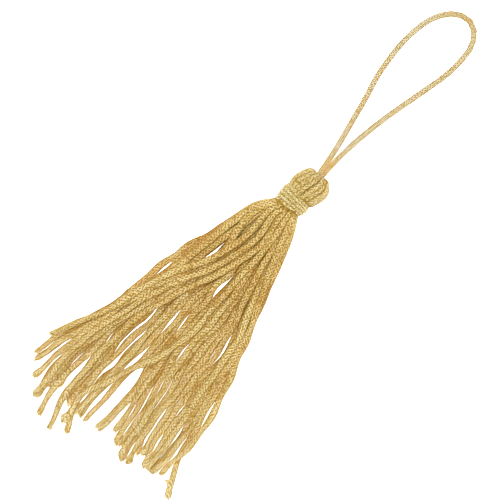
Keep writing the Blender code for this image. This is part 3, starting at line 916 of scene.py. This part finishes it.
# %% Lay the cord ends on one another
class Pile:
    """A height map of what lies on the surface so far, which each cord end is laid on."""

    CELL = 0.1
    EDGE = 0.08  # share of its half width that a cord keeps clear of the one beside it
    FINE = 16  # places looked at in each stretch of a cord
    SPOTS = 41  # places looked at across a cord
    EASINGS = 3  # times that the line of a cord is smoothed
    TOUCH = 1e-6  # what stands less than this above a cord's line doesn't block it
    LEFT, BOTTOM, RIGHT, TOP = -37.0, -102.0, 29.0, -7.0

    def __init__(self):
        x = np.arange(self.LEFT, self.RIGHT, self.CELL)
        y = np.arange(self.BOTTOM, self.TOP, self.CELL)
        row = bundle_at(y[:, None] + 0 * x[None, :])
        off = np.clip(np.abs(x[None, :] - row.across) / row.half_width, 0, 1)
        shell = row.up - row.half_height * np.sqrt(1 - off**2)
        fade = np.clip(1 - (MOUTH_DOWN - y[:, None]) / GROUND_FADE, 0, 1)
        self.height = np.maximum(shell * fade, 0) - CORD_GAP

    def cells(self, x, y):
        return (
            ((y - self.BOTTOM) / self.CELL).round().astype(int),
            ((x - self.LEFT) / self.CELL).round().astype(int),
        )

    def lay(self, across, down, width):
        """Rests a cord end on the pile. It gives the height of its underside, and how far it
        reaches to its left and to its right, at each station. Its edges give way to cords beside
        them."""
        station = np.arange(len(down))
        t = np.linspace(0, len(down) - 1, (len(down) - 1) * self.FINE + 1)
        x, y = np.interp(t, station, across), np.interp(t, station, down)
        along = np.hypot(np.gradient(x), np.gradient(y))
        right = -np.gradient(y) / along, np.gradient(x) / along
        share = np.linspace(-1, 1, self.SPOTS)
        offset = share[None, :] * np.interp(t, station, width)[:, None] / 2
        spots = self.cells(
            x[:, None] + right[0][:, None] * offset, y[:, None] + right[1][:, None] * offset
        )
        under = self.height[spots] + CORD_GAP
        around = [
            slice(max(0, (k - 1) * self.FINE), (k + 1) * self.FINE + 1) for k in station
        ]

        core = under[:, np.abs(share) <= CORE_SHARE]
        needed = np.array([core[near].max() for near in around])
        spacing = np.hypot(across[:, None] - across[None, :], down[:, None] - down[None, :])
        height = (needed[None, :] - CLIMB * spacing).max(axis=1)
        for _ in range(self.EASINGS):
            eased = height.copy()
            eased[1:-1] = (height[:-2] + 2 * height[1:-1] + height[2:]) / 4
            height = np.maximum(eased, needed)

        blocked = under > np.interp(t, station, height)[:, None] + self.TOUCH
        reach = []
        for sign in (-1, 1):
            outward = np.abs(np.where(sign * share > 0, share, 0))
            first = np.where(blocked & (outward > 0), outward[None, :], 2).min(axis=1)
            reach.append([min(1, first[near].min() - self.EDGE) for near in around])
        reach = np.array(reach) * width / 2

        wide = np.array([np.interp(t, station, side) for side in reach])
        offset = np.where(share[None, :] < 0, wide[0][:, None], wide[1][:, None]) * share[None, :]
        spots = self.cells(
            x[:, None] + right[0][:, None] * offset, y[:, None] + right[1][:, None] * offset
        )
        top = np.interp(t, station, height)[:, None] + CORD_THICKNESS + 0 * offset
        np.maximum.at(self.height, spots, top)
        return height, *reach


def laid_ends():
    """Every cord end with its layer, as rows of (across, down, underside, left, right)."""
    pile = Pile()
    ends = []
    for layer in LAYERS:
        for place in range(len(layer.ends)):
            across, down = plan_of(layer, place)
            laid = pile.lay(across, down, width_of(layer, down))
            ends.append((layer, np.stack([across, down, *laid], axis=1)))
    return ends


laid = laid_ends()
print(len(laid), "cord ends, the highest lies at %.1f mm" % max(e[:, 2].max() for _, e in laid))

# %% [markdown]
# ## The skirt
# Each laid end becomes a route for the knit tree. Real ends start inside the binding, squeezed
# small, and spread as they leave it, so every route is led back into the neck. A cord is also a
# little uneven: it turns slowly about itself, wavers and swells, and it narrows where it was cut.

# %% Into the neck
NECK_MIDDLE = (-1.2, 4.5)
NECK_REACH = 2.45  # no cord's middle is further than this from the neck's
NeckStep = namedtuple("NeckStep", "down share_across share_up half_width")
NECK_STEPS = (
    NeckStep(-5.6, 0.36, 0.50, 0.70),
    NeckStep(-7.3, 0.58, 0.62, 0.85),
)


def into_neck(x, z, share_x, share_z):
    """A point of the bundle drawn in towards the middle of the neck."""
    x, z = (x - NECK_MIDDLE[0]) * share_x, (z - NECK_MIDDLE[1]) * share_z
    shrink = min(1.0, NECK_REACH / max(math.hypot(x, z), 0.01))
    return NECK_MIDDLE[0] + x * shrink, NECK_MIDDLE[1] + z * shrink


def with_neck(across, down, up, half):
    """The same four rows of numbers, begun inside the binding."""
    steps = [
        into_neck(across[0], up[0], step.share_across, step.share_up) for step in NECK_STEPS
    ]
    return (
        np.concatenate([[x for x, _ in steps], across]),
        np.concatenate([[step.down for step in NECK_STEPS], down]),
        np.concatenate([[z for _, z in steps], up]),
        np.concatenate([[step.half_width for step in NECK_STEPS], half]),
    )


# %% How a skirt cord varies
ROUTE_STEP = 0.5  # from one point of a route to the next, in millimetres
FLATTENING = 0.66  # a soft cord's half width, as a share of the room that it has
LEAST_HALF_WIDTH = 0.92
GIVING_WAY = 0.2  # how much of a cord's width its neighbours decide
LEANING = 0.25  # how far it moves over to the side where there is more room

# Stretches, as where each begins and how long it is. The first two are measured along the cord,
# and the third down the skirt.
FREED = (15, 30)
SLIMMED = (14, 20)
TURNED_UP = (9, 9)

# Widths and thicknesses change by these shares of themselves
FULL = 1.05  # in the bell
SLIMMING = 0.06  # once the cord has left it
TAPER = 0.21  # towards the cut
TAPER_LENGTH = 22
SWELLING = 0.12
SWELL_LENGTHS = (1.8, 3.0)
RIPPLE = 0.04
RIPPLE_LENGTH = 2.3
ROUNDING = 0.2  # at the very cut
ROUNDING_LENGTH = 0.6
KNOB = 0.6  # the fattest end, over its last stretch
KNOB_LENGTH = 2.5
KNOB_RISE = 1.5

WAVER = 0.2  # how far a cord strays to the side of its plan
WAVER_LENGTHS = (1.6, 2.6)
THICKNESS = 0.64  # half the thickness in the bell
THINNING = 0.08
TUFT_LENGTH = 0.6  # left off for the tuft of yarns at the cut
FACING_OUT = 0.8  # how far a cord at the neck faces away from the bundle's middle
TURN_RATES = (0.015, 0.05)  # radians in each millimetre

# Places down the skirt, and the painted shade of a cord there: painted shade in the crease under
# the binding, a little in the bell, and painted light, as shade below zero, where the ends lie
# apart
SHADE_DOWN = ((9.2, 9.7, 15, 30, 40, 70, 88), (1.0, 0.0, 0.1, 0.1, -0.05, -0.05, -0.18))
print("skirt cords: tapering over their last", TAPER_LENGTH, "mm")

# %% Routes for the skirt
def way(at, start, length):
    """The share of a stretch that lies behind each place: 0 before it and 1 after it."""
    return np.clip((at - start) / length, 0, 1)


def wave(at, chance, lengths):
    """A sine with a length and a start of its own."""
    return np.sin(at / chance.uniform(*lengths) + chance.uniform(0, 6))


def faced_out(x, y, z):
    """Which way a cord faces: out from the bundle near the neck, and up further down."""
    tight = FACING_OUT * (1 - way(-y, *TURNED_UP))[:, None]
    radial = np.stack([x - bundle_at(y).across, 0 * x, z - bundle_at(y).up], axis=1)
    radial /= np.linalg.norm(radial, axis=1)[:, None] + 0.3
    radial *= np.where(radial[:, 2:] < 0, -1, 1)
    return radial * tight + np.array([0, 0, 1.0]) * (1 - tight)


def skirt_route(layer, end, chance):
    across, down, underside, left, right = end.T
    room = np.clip(width_of(layer, down) * FLATTENING, LEAST_HALF_WIDTH, CORD_WIDTH / 2)
    half = (1 - GIVING_WAY) * room + GIVING_WAY * (left + right) / 2
    across = across + (right - left) * LEANING
    rows = with_neck(across, down, underside + CORD_THICKNESS / 2, half)

    travel = np.hypot(np.diff(rows[0]), np.diff(rows[1]))
    travel = np.concatenate([[0], np.cumsum(travel)])
    at = np.arange(0, travel[-1] - TUFT_LENGTH, ROUTE_STEP)
    x, y, z, wide = (smooth_through(travel, row, at) for row in rows)
    free = way(at, *FREED)
    x = x + free * WAVER * wave(at, chance, WAVER_LENGTHS)
    taper = TAPER * way(at, at[-1] - TAPER_LENGTH, TAPER_LENGTH)
    wide = wide * (FULL - SLIMMING * way(at, *SLIMMED) - taper)
    wide = wide * (1 + free * SWELLING * wave(at, chance, SWELL_LENGTHS))
    ripple = 1 + RIPPLE * np.sin(at / RIPPLE_LENGTH + chance.uniform(0, 6))
    thick = (THICKNESS - THINNING * free) * ripple
    from_cut = way(at[-1] - at, 0, ROUNDING_LENGTH)
    rounded = 1 - ROUNDING + ROUNDING * np.sqrt(1 - (1 - from_cut) ** 2)
    fatter = 1 + KNOB * chance.uniform() ** 3 * way(at, at[-1] - KNOB_LENGTH, KNOB_RISE)
    z = np.maximum(z, thick)
    turn = chance.uniform(0, 6) + at * chance.choice([-1, 1]) * chance.uniform(*TURN_RATES)
    return route_of(
        np.stack([x, y, z], axis=1),
        faced_out(x, y, z),
        half_width=wide * rounded * fatter,
        half_height=thick * rounded * fatter,
        twist=turn,
        open=1.0,
        shade=np.interp(-y, *SHADE_DOWN),
    )


# %% [markdown]
# ## How deep a cord lies
# Light that reaches a buried cord has been through its neighbours, so it looks deeper in colour.
# For each point of a route this looks for the highest cord within reach, seen from above, and
# turns the difference in height into a tint.

# %% Tint the buried cords
REACH = 1.2
DEEPEST = 3.0  # a cord this far below another one has all its tint

# Places down the skirt, and the tint there: of every cord, and of one that lies deep
TINT_DOWN = ((9, 16, 26, 45, 80, 88), (0.12, 0.3, 0.45, 0.3, 0.18, 0.0))
DEPTH_TINT_DOWN = ((15, 30), (0.15, 0.8))
TINT_SPREAD = (-0.1, 0.15)


def tint_by_depth(routes, chance):
    everything = np.concatenate([route["points"] for route in routes])
    for route in routes:
        points = route["points"]
        apart = points[:, None, :2] - everything[None, :, :2]
        near = np.hypot(apart[..., 0], apart[..., 1]) < REACH
        highest = np.where(near, everything[None, :, 2], 0).max(axis=1)
        # How far a cord lies below the highest one near it becomes painted shade, a deeper colour
        depth = np.clip((highest - points[:, 2]) / DEEPEST, 0, 1)
        down = -points[:, 1]
        route["tint"] = np.interp(down, *TINT_DOWN) + depth * np.interp(down, *DEPTH_TINT_DOWN)
        route["tint"] += chance.uniform(*TINT_SPREAD)


# %% Knit the skirt, one piece for each layer
def add_skirt():
    chance = np.random.RandomState(7)
    routes = [skirt_route(layer, end, chance) for layer, end in laid]
    tint_by_depth(routes, chance)
    for layer in LAYERS:
        own = [route for (owner, _), route in zip(laid, routes) if owner is layer]
        piece = knit("skirt_cords_" + layer.name, own, silks["skirt_silk"])
        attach(piece, "root")
        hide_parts("cord_bundle")
    return routes


skirt_routes = add_skirt()

# %% [markdown]
# ## Frayed ends
# Where a knitted cord is cut, its yarns spring apart into a small tuft. This tree takes one point
# for each cut end. It copies the point once for each yarn, moves the copies about the end, and
# stands a thin curved yarn on each, pointing roughly the way the cord was heading. Instances suit
# this, because every yarn is the same small shape at another size and turn. One cord that strayed
# from the rest has also been plucked a little above its cut.

# %% The tree that frays a cut end
BEND_OUT = -0.1  # how far a yarn's middle leans one way, as a share of its length
TIP_OUT = 0.25  # how far its tip leans the other way
YARN_SIZES = (0.5, 1.2)
FRAY_SOCKETS = {
    "Geometry": ("NodeSocketGeometry", None),
    "Yarns": ("NodeSocketInt", 18),
    "Length": ("NodeSocketFloat", 0.8 * MM),
    "Thickness": ("NodeSocketFloat", 0.28 * MM),
    "Scatter": ("NodeSocketFloat", 0.5 * MM),
    "Splay": ("NodeSocketFloat", 0.35),
    "Seed": ("NodeSocketInt", 5),
    "Silk": ("NodeSocketMaterial", None),
}


def random_vector(tree, reach, seed):
    """A vector within reach, for each point. It seldom points far down, towards the table."""
    low = node(tree, "ShaderNodeCombineXYZ", {"X": -1.0, "Y": -1.0, "Z": -0.6})
    high = node(tree, "ShaderNodeCombineXYZ", {"X": 1.0, "Y": 1.0, "Z": 1.0})
    feeds = {"Min": times(low, reach), "Max": times(high, reach), "Seed": seed}
    return node(tree, "FunctionNodeRandomValue", feeds, out="Value", data_type="FLOAT_VECTOR")


def build_fray_tree():
    tree, given, result = new_tree(
        "Frayed ends", "GeometryNodeTree", FRAY_SOCKETS, {"Geometry": "NodeSocketGeometry"}
    )
    feeds = {"Geometry": given["Geometry"], "Amount": given["Yarns"]}
    ends = node(tree, "GeometryNodeDuplicateElements", feeds, domain="POINT")
    shift = random_vector(tree, given["Scatter"], given["Seed"])
    ends = node(tree, "GeometryNodeSetPosition", {"Geometry": ends, "Offset": shift})

    length, thickness = given["Length"], given["Thickness"]
    tip = node(tree, "ShaderNodeCombineXYZ", {"X": length * TIP_OUT, "Z": length})
    bend = node(tree, "ShaderNodeCombineXYZ", {"X": length * BEND_OUT, "Z": length * 0.5})
    feeds = {"Resolution": 5, "Start": (0.0, 0.0, 0.0), "Middle": bend, "End": tip}
    yarn = node(tree, "GeometryNodeCurveQuadraticBezier", feeds)
    feeds = {"Resolution": 5, "Radius": thickness * 0.5}
    section = node(tree, "GeometryNodeCurvePrimitiveCircle", feeds)
    feeds = {"Curve": yarn, "Profile Curve": section, "Fill Caps": True}
    yarn = node(tree, "GeometryNodeCurveToMesh", feeds)
    feeds = {"Geometry": yarn, "Name": "crest", "Value": 1.0}
    yarn = node(tree, "GeometryNodeStoreNamedAttribute", feeds, data_type="FLOAT")

    splay = random_vector(tree, given["Splay"], given["Seed"] + 1.0)
    heading = vectors("ADD", stored(tree, "outward", "FLOAT_VECTOR"), splay)
    turn = node(tree, "FunctionNodeAlignRotationToVector", {"Vector": heading}, axis="Z")
    feeds = {2: YARN_SIZES[0], 3: YARN_SIZES[1], "Seed": given["Seed"] + 2.0}
    size = node(tree, "FunctionNodeRandomValue", feeds, out=1, data_type="FLOAT")
    feeds = {"Points": ends, "Instance": yarn, "Rotation": turn, "Scale": size}
    tufts = node(tree, "GeometryNodeInstanceOnPoints", feeds)
    tufts = node(tree, "GeometryNodeRealizeInstances", {"Geometry": tufts})
    tufts = node(tree, "GeometryNodeSetMaterial", {"Geometry": tufts, "Material": given["Silk"]})
    tree.links.new(tufts.socket, result.inputs[0])
    return tree


fray_tree = build_fray_tree()
print("fray tree:", len(fray_tree.nodes), "nodes")

# %% Fray the ends
PLUCKED_BACK = 10  # points of the route between the plucked place and the cut
PLUCKED_HEADING = np.array([-0.8, -0.6, 0.1])
CUT_TINT = 0.1


def add_frayed_ends():
    tips = []
    for route in skirt_routes:
        points = route["points"]
        tips.append(route_of(points[-1:], points[-1] - points[-3], tint=CUT_TINT))
    stray = max(skirt_routes, key=lambda route: route["points"][-1, 0])
    plucked = stray["points"][-PLUCKED_BACK] + PLUCKED_HEADING
    tips.append(route_of(plucked[None, :], PLUCKED_HEADING, tint=CUT_TINT))
    base = add_chains("cut_ends", tips)
    piece = run_tree("frayed_ends", base, fray_tree, {"Silk": silks["skirt_silk"]})
    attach(piece, "root")
    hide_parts("cord_bundle")
    print("frayed ends:", triangles_in(piece), "triangles")


add_frayed_ends()

# %% [markdown]
# ## The head
# The head is where the hank folds over the hanging loop. Its cords come up out of a small dimple,
# round the rim, spread over the shoulder and gather again under the binding. They are the same
# cord as the skirt, only stretched wide by the bend. Each one follows the rows of a table that
# gives the head's own section, at its own angle round it. Seventeen routes cost little, and leave
# real furrows between them, which a single round shape with a bump would not.

# %% The head's section, and its seams
Fold = namedtuple("Fold", "along across up half_width half_height lean turn thick")
FOLDS = (
    Fold(0.8, 0.70, 4.75, 0.8, 0.8, 0.0, 14, 0.45),
    Fold(2.7, 0.75, 4.75, 1.1, 1.1, 0.0, 14, 0.50),
    Fold(3.9, 0.75, 4.80, 1.8, 1.8, 0.0, 13, 0.58),
    Fold(4.0, 0.75, 4.85, 2.5, 2.5, 0.03, 12, 0.62),
    Fold(3.4, 0.78, 4.88, 3.3, 3.3, 0.06, 9, 0.66),
    Fold(2.4, 0.90, 4.90, 4.0, 4.0, 0.09, 6, 0.68),
    Fold(1.1, 0.75, 4.90, 4.5, 4.5, 0.10, 3, 0.68),
    Fold(-0.4, 0.40, 4.90, 4.6, 4.6, 0.11, 1, 0.68),
    Fold(-1.9, 0.02, 4.85, 4.4, 4.4, 0.13, 0, 0.66),
    Fold(-3.0, -0.15, 4.75, 4.05, 4.05, 0.15, 0, 0.62),
    Fold(-4.0, -0.45, 4.70, 3.5, 3.5, 0.14, 0, 0.55),
    Fold(-5.2, -0.75, 4.65, 2.8, 2.8, 0.11, 0, 0.48),
    Fold(-7.0, -0.90, 4.60, 2.4, 2.5, 0.05, 0, 0.45),
)
# Where one cord ends and the next begins, in degrees to the right of the top, and how far apart
# they stand there. Three of the furrows are open, and elsewhere the cords press together.
Seam = namedtuple("Seam", "angle gap")
SEAMS = (
    Seam(1.5, 3.0),
    Seam(20, -1.0),
    Seam(38.4, 3.0),
    Seam(60, 0.0),
    Seam(82, 1.0),
    Seam(105, 1.0),
    Seam(128, 1.0),
    Seam(151, 1.0),
    Seam(174, 1.0),
    Seam(197, 1.0),
    Seam(220, 1.0),
    Seam(243, 1.0),
    Seam(266, 1.0),
    Seam(290, 1.0),
    Seam(307, 0.0),
    Seam(325.5, 3.0),
    Seam(343.5, -1.0),
)
print("head:", len(FOLDS), "rows and", len(SEAMS), "seams")

# %% Routes for the head
HEAD_STEP = 0.3
NOTCH = 0.4  # how far the rim dips where the hanging loop comes out
RIM = (2.4, 1.4)  # where the rim begins, and how long it is
SAG = 0.15  # how far a cord may stand out or sink in
CORD_LIMITS = (0.4, 1.4)  # least and greatest half width
OPENED = (0.3, 0.6)  # a cord's stitches open as its half width passes over this stretch
CREASE = (3.2, 0.5)  # the shadow above the binding, and how soft its edge is
HEAD_TURN_RATE = 0.03
HEAD_TINTS = (0.05, 0.25)
HEAD_STITCH = 1.3
HEAD_HOLES = 0.15
HEAD_LEGS = 0.05


def head_route(first, second, chance):
    table = np.array(FOLDS)
    travel = np.hypot(np.diff(table[:, 0]), np.diff(table[:, 3]))
    travel = np.concatenate([[0], np.cumsum(travel)])
    at = np.arange(0, travel[-1], HEAD_STEP)
    along, across, up, wide, high, lean, turn, thick = (
        smooth_through(travel, column, at) for column in table.T
    )
    angle = np.radians((first + second) / 2 + turn)
    side, rise = np.sin(angle), np.cos(angle)
    sag = SAG * math.sin(first)  # the sine of degrees jumps about, so each cord has its own
    x = across + (wide + sag) * side
    z = up + (high + sag) * rise
    y = along - lean * (x - across) - NOTCH * way(along, *RIM) * np.maximum(rise, 0) ** 6
    half = (wide + thick) * np.radians(second - first) / 2
    return route_of(
        np.stack([x, y, z], axis=1),
        np.stack([side, 0 * side, rise], axis=1),
        half_width=np.clip(half, *CORD_LIMITS),
        half_height=thick,
        twist=chance.uniform(0, 6) + HEAD_TURN_RATE * at,
        open=way(half, *OPENED),
        tint=chance.uniform(*HEAD_TINTS),
        shade=way(-y, *CREASE),
    )


def add_head():
    chance = np.random.RandomState(11)
    seams = SEAMS + (Seam(SEAMS[0].angle + 360, SEAMS[0].gap),)
    routes = [
        head_route(one.angle + one.gap / 2, two.angle - two.gap / 2, chance)
        for one, two in zip(seams, seams[1:])
    ]
    silk = silks["head_silk"]
    head = knit("head_cords", routes, silk, HEAD_STITCH, HEAD_HOLES, HEAD_LEGS)
    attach(head, "root")
    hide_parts("cord_bundle")


add_head()

# %% [markdown]
# ## The filling
# Behind the outer cords lie more cords that only show as a dark gold shadow in the furrows. Two
# fat cords, kept a little inside them, stand in for those, in the head and in the bell below the
# neck, so that no furrow lets light through. They are knitted by the same tree, with no holes.

# %% The filling
Filling = namedtuple("Filling", "along across up half_width half_height")
FILLINGS = {
    "head_filling": (
        Filling(2.6, 0.7, 4.85, 1.9, 1.9),
        Filling(2.0, 0.7, 4.88, 3.0, 3.0),
        Filling(0.8, 0.6, 4.9, 3.9, 3.9),
        Filling(-0.6, 0.4, 4.9, 4.1, 4.1),
        Filling(-2.2, 0.05, 4.8, 3.8, 3.8),
        Filling(-3.6, -0.3, 4.7, 3.0, 3.0),
        Filling(-5.0, -0.7, 4.6, 2.5, 2.5),
        Filling(-8.5, -1.1, 4.5, 2.4, 2.4),
    ),
    "bell_filling": (
        Filling(-8.8, -1.3, 4.4, 2.4, 2.4),
        Filling(-10.0, -1.6, 4.3, 4.1, 3.0),
        Filling(-12.0, -1.9, 4.2, 5.4, 3.0),
        Filling(-14.0, -2.1, 4.0, 6.3, 2.9),
        Filling(-17.0, -2.3, 3.8, 6.8, 2.6),
        Filling(-20.0, -2.3, 3.5, 6.6, 2.2),
        Filling(-23.0, -2.2, 3.2, 5.6, 1.7),
        Filling(-25.5, -2.0, 3.0, 3.8, 1.0),
    ),
}


def add_filling(name):
    table = np.array(FILLINGS[name])
    at = np.arange(-table[0, 0], -table[-1, 0], HEAD_STEP)
    x, z, wide, high = (smooth_through(-table[:, 0], column, at) for column in table.T[1:])
    points = np.stack([x, -at, z], axis=1)
    # Its tint of 1 gives it the deeper colour all over, painted shade for the furrows
    route = route_of(points, (0, 0, 1.0), half_width=wide, half_height=high, tint=1.0)
    filling = knit(name, [route], silks["head_silk"])
    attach(filling, "root")
    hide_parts("cord_bundle")


for name in FILLINGS:
    add_filling(name)

# %% [markdown]
# ## The binding
# A few turns of the same cord are wound tightly round the neck and the end is tucked in. Wound
# cord is a helix, so one angle drives everything: where the cord is along the neck, how far out,
# and how much it leans. Seen from above, the turns cross the neck at a slight slant.

# %% Sizes of the binding
Turn = namedtuple("Turn", "along across up half_width half_height lean")
TURNS = (
    Turn(-4.45, -0.75, 4.65, 4.85, 4.40, 0.13),
    Turn(-5.3, -0.80, 4.65, 4.95, 4.40, 0.11),
    Turn(-6.4, -0.75, 4.60, 4.80, 4.35, 0.08),
    Turn(-7.7, -0.95, 4.55, 4.60, 4.25, 0.04),
    Turn(-9.0, -1.20, 4.50, 4.35, 4.15, 0.0),
)
BINDING_WIDTH = 1.0
BINDING_THICKNESS = 1.05
BINDING_STITCH = 1.1
BINDING_POINTS = 260
WINDINGS = 5.0
FLAT_TURN = 0.4  # how much of the first and of the last turn runs straight round
BINDING_TOP = -4.05
BINDING_LENGTH = 4.3
LEAN_TOP = 0.16
LEAN_BOTTOM = -0.07  # the turns close up towards the right
NARROWING = 0.2  # a turn is narrower on the right by this share, and wider on the left
TUCK_SHARE = 0.03  # share of the cord at each end that dives under the turns
TUCK_DEPTH = 0.7
TOP_STEP = (-5.1, 1.0)  # the top turn lies deeper than the others, from here over this length
TOP_DEPTH = 0.3
BINDING_OPEN = 0.7
BINDING_TINT = 0.1
print("binding: %.0f turns over %.1f mm" % (WINDINGS, BINDING_LENGTH))

# %% Wind the binding
def turn_at(along):
    """The sleeve's row at any place along the neck."""
    places = [-row.along for row in TURNS]
    columns = [np.interp(-along, places, [row[k] for row in TURNS]) for k in range(1, 6)]
    return Turn(along, *columns)


def add_binding():
    share = np.linspace(0, 1, BINDING_POINTS)
    sunk = way(share * WINDINGS, FLAT_TURN, WINDINGS - 2 * FLAT_TURN)
    along = BINDING_TOP - BINDING_LENGTH * sunk
    angle = math.pi + share * WINDINGS * math.tau
    row = turn_at(along)
    tucked = 1 - way(np.minimum(share, 1 - share), 0, TUCK_SHARE)
    inset = BINDING_THICKNESS / 2 + TUCK_DEPTH * tucked + TOP_DEPTH * way(along, *TOP_STEP)
    side, rise = np.sin(angle), np.cos(angle)
    x = row.across + (row.half_width - inset) * side
    z = row.up + (row.half_height - inset) * rise
    lean = LEAN_TOP + (LEAN_BOTTOM - LEAN_TOP) * sunk
    y = along - lean * (x - row.across)
    route = route_of(
        np.stack([x, y, z], axis=1),
        np.stack([side, 0 * side, rise], axis=1),
        half_width=BINDING_WIDTH / 2 * (1 - NARROWING * side),
        half_height=BINDING_THICKNESS / 2,
        open=BINDING_OPEN,
        tint=BINDING_TINT,
    )
    binding = knit("binding_cord", [route], silks["binding_silk"], stitch=BINDING_STITCH)
    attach(binding, "root")
    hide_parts("neck_binding")


add_binding()
